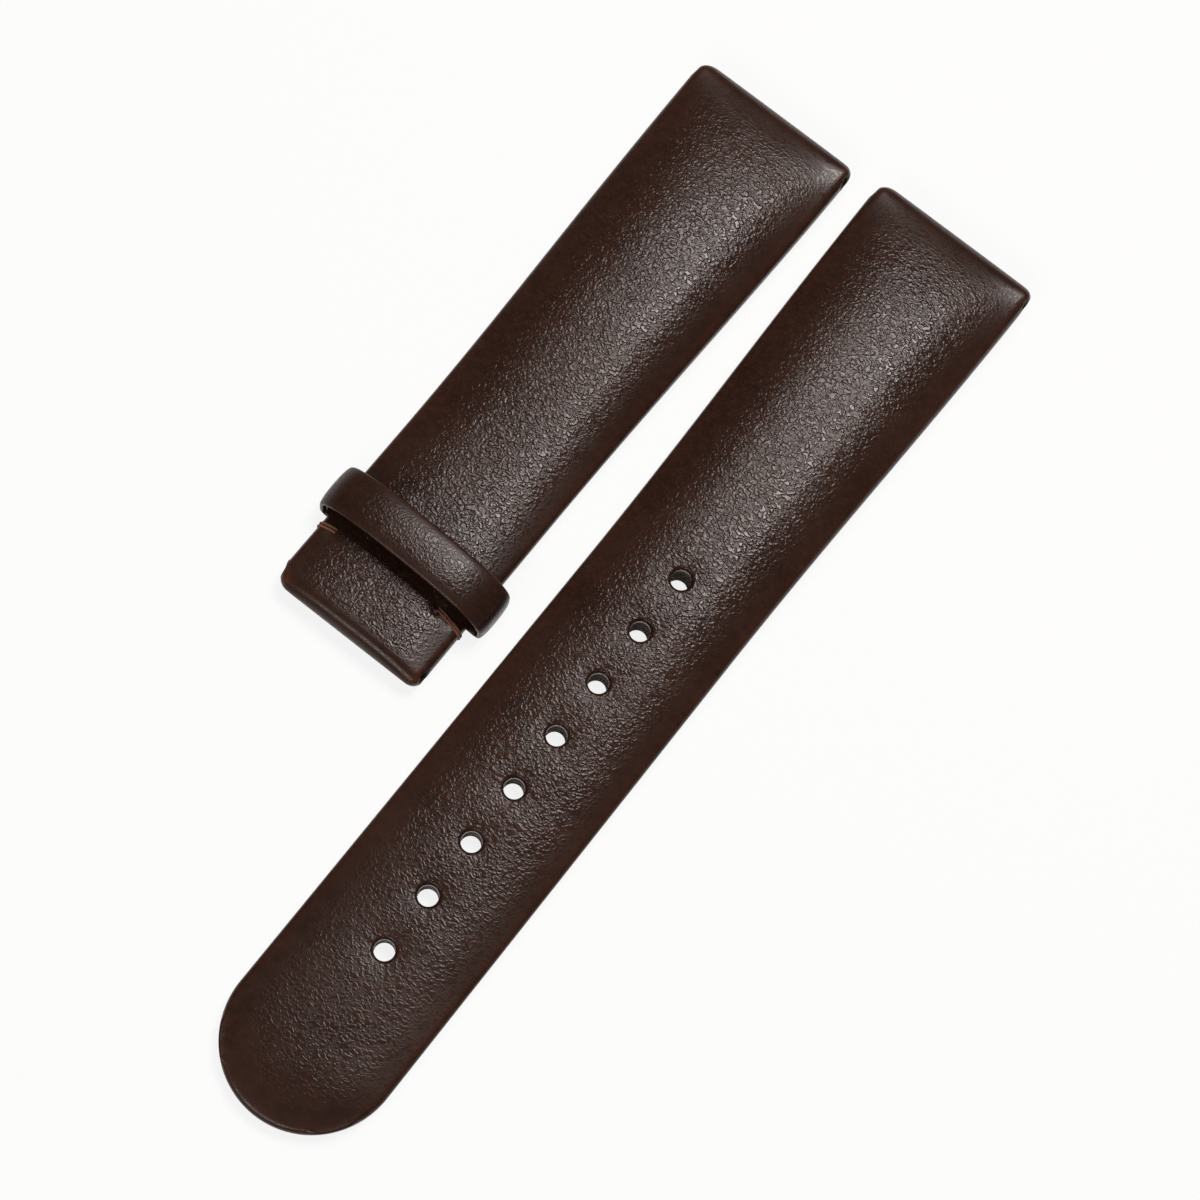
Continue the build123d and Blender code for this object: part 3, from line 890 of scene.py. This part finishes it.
def arch(reach, top, low=None, foot=None):
    """A keeper's line, seen along the strap, from one end to the middle of its top.

    It starts from a tucked foot that ends at foot, or else straight up from low.
    """
    line = []
    if foot is not None:
        line += [(foot, foot_level), (reach - keeper_bend, foot_level)]
        for i in range(1, bend_steps + 1):
            turn = pi / 2 * i / bend_steps
            line.append((reach - keeper_bend + keeper_bend * sin(turn),
                         foot_level + keeper_bend * (1 - cos(turn))))
    else:
        line.append((reach, low))
    rise = top - arch_level
    for i in range(arch_steps + 1):
        turn = pi / 2 * i / arch_steps
        line.append((reach * cos(turn) ** (2 / arch_squareness),
                     arch_level + rise * sin(turn) ** (2 / arch_squareness)))
    return line


def evened(line, steps):
    """Points at even steps along a line."""
    lengths = [0]
    for (x, z), (next_x, next_z) in zip(line, line[1:]):
        lengths.append(lengths[-1] + hypot(next_x - x, next_z - z))
    points, index = [], 0
    for i in range(steps + 1):
        along = lengths[-1] * i / steps
        while index < len(line) - 2 and lengths[index + 1] < along:
            index += 1
        share = (along - lengths[index]) / (lengths[index + 1] - lengths[index])
        (x, z), (next_x, next_z) = line[index], line[index + 1]
        points.append((x + (next_x - x) * share, z + (next_z - z) * share))
    return points


def band(half_line, width, thickness, squareness, bow=0.0, foot_run=0):
    """A closed strip that follows an arch and its mirror, with rolled edges and a bowed face."""
    half_points = evened(half_line, keeper_steps // 2)
    line = half_points + [(-x, z) for x, z in reversed(half_points[:-1])]
    power = 2 / squareness
    bm = bmesh.new()
    bmesh.ops.create_grid(bm, x_segments=band_around, y_segments=len(line) - 1, size=1)
    for v in bm.verts:
        i = round((v.co.y + 1) / 2 * (len(line) - 1))
        turn = 2 * pi * round((v.co.x + 1) / 2 * band_around) / band_around
        before, after = line[max(i - 1, 0)], line[min(i + 1, len(line) - 1)]
        along = Vector((after[0] - before[0], after[1] - before[1])).normalized()
        outward = Vector((along.y, -along.x))
        across = copysign(abs(cos(turn)) ** power, cos(turn)) * width / 2
        up = copysign(abs(sin(turn)) ** power, sin(turn)) * thickness / 2
        ends = min(i, len(line) - 1 - i) * 2 / (len(line) - 1)
        skived = foot_share + (1 - foot_share) * eased(ends / foot_run) if foot_run else 1.0
        bowed = bow * (1 - (2 * across / width) ** 2) if up > 0 else 0
        offset = outward * (up * skived + bowed * skived)
        x, z = line[i]
        share = foot_width_share if skived < foot_limit else 1
        y = keeper_y + across * share - keeper_skew * (x + offset.x)
        v.co = keeper_x + x + offset.x, y, z + offset.y
    bmesh.ops.remove_doubles(bm, verts=bm.verts, dist=same_place)
    bmesh.ops.holes_fill(bm, edges=bm.edges, sides=band_around + 2)
    return bm


keeper_reach = (keeper_high.x - keeper_low.x) / 2 + keeper_ease
band_line = arch(keeper_reach - keeper_thickness / 2, keeper_top - keeper_thickness / 2,
                 foot=foot_inner)
lining_drop = keeper_thickness + keeper_lining_thickness / 2
inner_line = arch(keeper_reach - lining_drop, keeper_top - lining_drop, low=inner_low)


def band_margin(v):
    """How far a point of the keeper is from its rolled edges."""
    return keeper_width / 2 - abs(v.co.y - keeper_y + keeper_skew * (v.co.x - keeper_x))


def band_plumpness(v):
    """The keeper's grain: fullest in the middle of its face."""
    if v.co.z < foot_top:
        return foot_grain
    out = abs(v.co.x - keeper_x)
    ends = 1 - end_grain_loss * eased((out - end_grain_from) / end_grain_over)
    return eased((band_margin(v) - keeper_plain) / keeper_fill) * ends


def band_rubbing_and_highlight(v):
    """Rubbing and painted highlight of the keeper, along its rolled edges."""
    return keeper_rub_and_highlight * exp(-((band_margin(v) / keeper_rub_and_highlight_spread) ** 2))


keeper_shape = band(band_line, keeper_width, keeper_thickness, band_squareness, band_bow,
                    foot_run_share)
keeper_shape.normal_update()
mark(keeper_shape, "plump", band_plumpness)
mark(keeper_shape, "edge", band_rubbing_and_highlight)
finished(keeper_shape, "keeper_loop_leather", keeper_hide,
         "buckle_half", ["keeper_band"])
inner_shape = band(inner_line, keeper_width - inner_trim, keeper_lining_thickness,
                   inner_squareness)
mark(inner_shape, "plump", lambda v: inner_grain)
mark(inner_shape, "edge", lambda v: 0.0)
finished(inner_shape, "keeper_inner_leather", keeper_hide, "buckle_half",
         ["keeper_lining"])

# Tacks: the thread, how it strays, how far it sinks into crown and side, and where it dives
thread_radius = 0.13
thread_step = 0.3
stray_reach, stray_waves, stray_seed = 0.05, 1.3, 0.7
crown_sink, side_sink = 0.5, 0.4
dive_start, dive_end, dive_level = 0.25, 0.3, 1.2
dive_low, dive_high, dive_lean = 0.9, 0.3, 0.08
thread_sides, thread_smoothness, thread_order = 4, 4, 3


def tack(node, name, slant, gap):
    """Two turns of thread over an edge, laid along the skin and slanted a little."""
    low, high = box_in_mm(node)
    hand = copysign(1, (low.x + high.x) / 2 - buckle_half.x)
    inner = min(abs(low.x - buckle_half.x), abs(high.x - buckle_half.x)) + thread_radius
    middle_y = (low.y + high.y) / 2
    bm = bmesh.new()
    for turn in (-1, 1):
        run = buckle_half.lug - middle_y
        reach = reach_at(buckle_half, run)

        def lay(x):
            share = (x - inner) / (reach - inner) - 0.5
            stray = stray_reach * noise.noise(Vector((x * stray_waves, turn, stray_seed)))
            return middle_y + turn * (gap / 2 + stray) - slant * share

        route = []
        crown_end = section(buckle_half, run, hand)[5]
        for x in spread([inner + dive_start, crown_end], thread_step):
            z = crown_level(buckle_half, buckle_half.x + hand * x, lay(x))
            z -= tack_pull(buckle_half, buckle_half.x + hand * x, lay(x))
            route.append((x, z + thread_radius * crown_sink))
        for i in range(side_steps - 1, 1, -1):
            x, z = skin_point(buckle_half, run, "side", i / side_steps, 1)
            route.append((x + thread_radius * side_sink, z))
        bottom, entry = low.z + thread_radius, route[0][1]
        route += [(reach - shoulder, bottom), (inner + dive_end, bottom)]
        route += [(inner, dive_level), (inner, entry - dive_low),
                  (inner + dive_lean, entry - dive_high)]
        curve = bpy.data.curves.new("thread", "CURVE")
        curve.dimensions = "3D"
        curve.bevel_depth = thread_radius * mm
        curve.bevel_resolution = thread_sides
        curve.resolution_u = thread_smoothness
        spline = curve.splines.new("NURBS")
        spline.points.add(len(route) - 1)
        for point, (x, z) in zip(spline.points, route):
            point.co = ((buckle_half.x + hand * x) * mm, lay(x) * mm, z * mm, 1)
        spline.order_u = thread_order
        spline.use_cyclic_u = True
        holder = bpy.data.objects.new("thread", curve)
        mesh = bpy.data.meshes.new_from_object(holder)
        bm.from_mesh(mesh)
        bpy.data.objects.remove(holder)
    bmesh.ops.scale(bm, vec=(1 / mm,) * 3, verts=bm.verts)
    bmesh.ops.remove_doubles(bm, verts=bm.verts, dist=same_place)
    return finished(bm, name, waxed_thread, "buckle_half", [node])


tack("right_tack", "right_thread_tack", 0.7, 0.31)
tack("left_tack", "left_thread_tack", 0.3, 0.4)

# Stage. The floor is a hair low, so that the linings' undersides don't lie in its face.
floor_reach, floor_drop = 1.5, 0.05 * mm
floor_grey, floor_glow = 0.86, 0.85
world_light = 0.06
floor_mesh = bpy.data.meshes.new("floor")
floor_shape = bmesh.new()
bmesh.ops.create_grid(floor_shape, x_segments=1, y_segments=1, size=floor_reach)
bmesh.ops.translate(floor_shape, vec=(0, 0, -floor_drop), verts=floor_shape.verts)
floor_shape.to_mesh(floor_mesh)
floor_shape.free()
floor = bpy.data.objects.new("floor", floor_mesh)
bpy.context.scene.collection.objects.link(floor)
floor_paper, tree, shader = principled(
    "floor_paper", Roughness=0.9, Base_Color=(floor_grey, floor_grey, floor_grey, 1),
)
glow = node_of(tree, "ShaderNodeEmission", {"Color": (1, 1, 1, 1), "Strength": 1.0})
path = node_of(tree, "ShaderNodeLightPath")
blend = node_of(tree, "ShaderNodeMixShader")
seen = maths(tree, "MAXIMUM", path.outputs["Is Camera Ray"], path.outputs["Is Glossy Ray"])
seen = maths(tree, "MAXIMUM", seen, path.outputs["Is Transmission Ray"])
joined(
    tree,
    (maths(tree, "MULTIPLY", seen, floor_glow), blend.inputs[0]),
    (shader.outputs[0], blend.inputs[1]), (glow.outputs[0], blend.inputs[2]),
    (blend.outputs[0], tree.nodes["Material Output"].inputs["Surface"]),
)
floor_mesh.materials.append(floor_paper)

world = bpy.data.worlds.new("studio")
bpy.context.scene.world = world
world.use_nodes = True
tree = world.node_tree
sky = tree.nodes["Background"]
sky.inputs["Color"].default_value = (1, 1, 1, 1)
path = node_of(tree, "ShaderNodeLightPath")
seen = maths(tree, "MAXIMUM", path.outputs["Is Camera Ray"], path.outputs["Is Transmission Ray"])
strength = ramp(tree, seen, 0.0, 1.0, world_light, 1.0, smooth=False)
tree.links.new(strength, sky.inputs["Strength"])

warm_white = (1.0, 0.94, 0.91)


def soft_box(name, place, width, depth, radiance):
    """An area light of a given radiance that faces the origin; its width lies along X."""
    light = bpy.data.lights.new(name, "AREA")
    light.shape = "RECTANGLE"
    light.size, light.size_y = width, depth
    light.energy = radiance * pi * width * depth
    light.color = warm_white
    lamp = bpy.data.objects.new(name, light)
    bpy.context.scene.collection.objects.link(lamp)
    back = Vector(place).normalized()
    side = Vector((1, 0, 0))
    side = (side - back * side.dot(back)).normalized()
    turn = Matrix((side, back.cross(side), back)).transposed().to_4x4()
    turn.translation = Vector(place)
    lamp.matrix_world = turn


# Three lamps make one strip behind the part, graded across it; the fourth fills from the front.
# Together they light the part at about the level where a colour renders as it is written.
for lamp_of in (
    ("key", (0.08, 0.2425, 0.57), 0.11, 0.235, 24.5),
    ("half_key", (-0.045, 0.2425, 0.57), 0.14, 0.235, 10.8),
    ("low_key", (-0.17, 0.2425, 0.57), 0.11, 0.235, 2.6),
    ("front", (0.0, -0.6, 0.5), 0.5, 0.2, 7.0),
):
    soft_box(*lamp_of)

# Camera, fitted to the perspective of the photo's outlines
camera_data = bpy.data.cameras.new("camera")
camera_data.lens = 84.28
camera_data.sensor_width = 36
camera_data.clip_start = 0.01
camera = bpy.data.objects.new("camera", camera_data)
bpy.context.scene.collection.objects.link(camera)
right = Vector((0.78785, 0.61017, 0.08357))
down = Vector((0.60829, -0.74974, -0.26052))
forward = Vector((-0.0963, 0.25609, -0.96185))
pose = Matrix((right, -down, -forward)).transposed().to_4x4()
pose.translation = Vector((21.8 + tail_half.x, -69.0, 272.0)) * mm
camera.matrix_world = pose
bpy.context.scene.camera = camera
bpy.context.scene.view_settings.view_transform = "Standard"
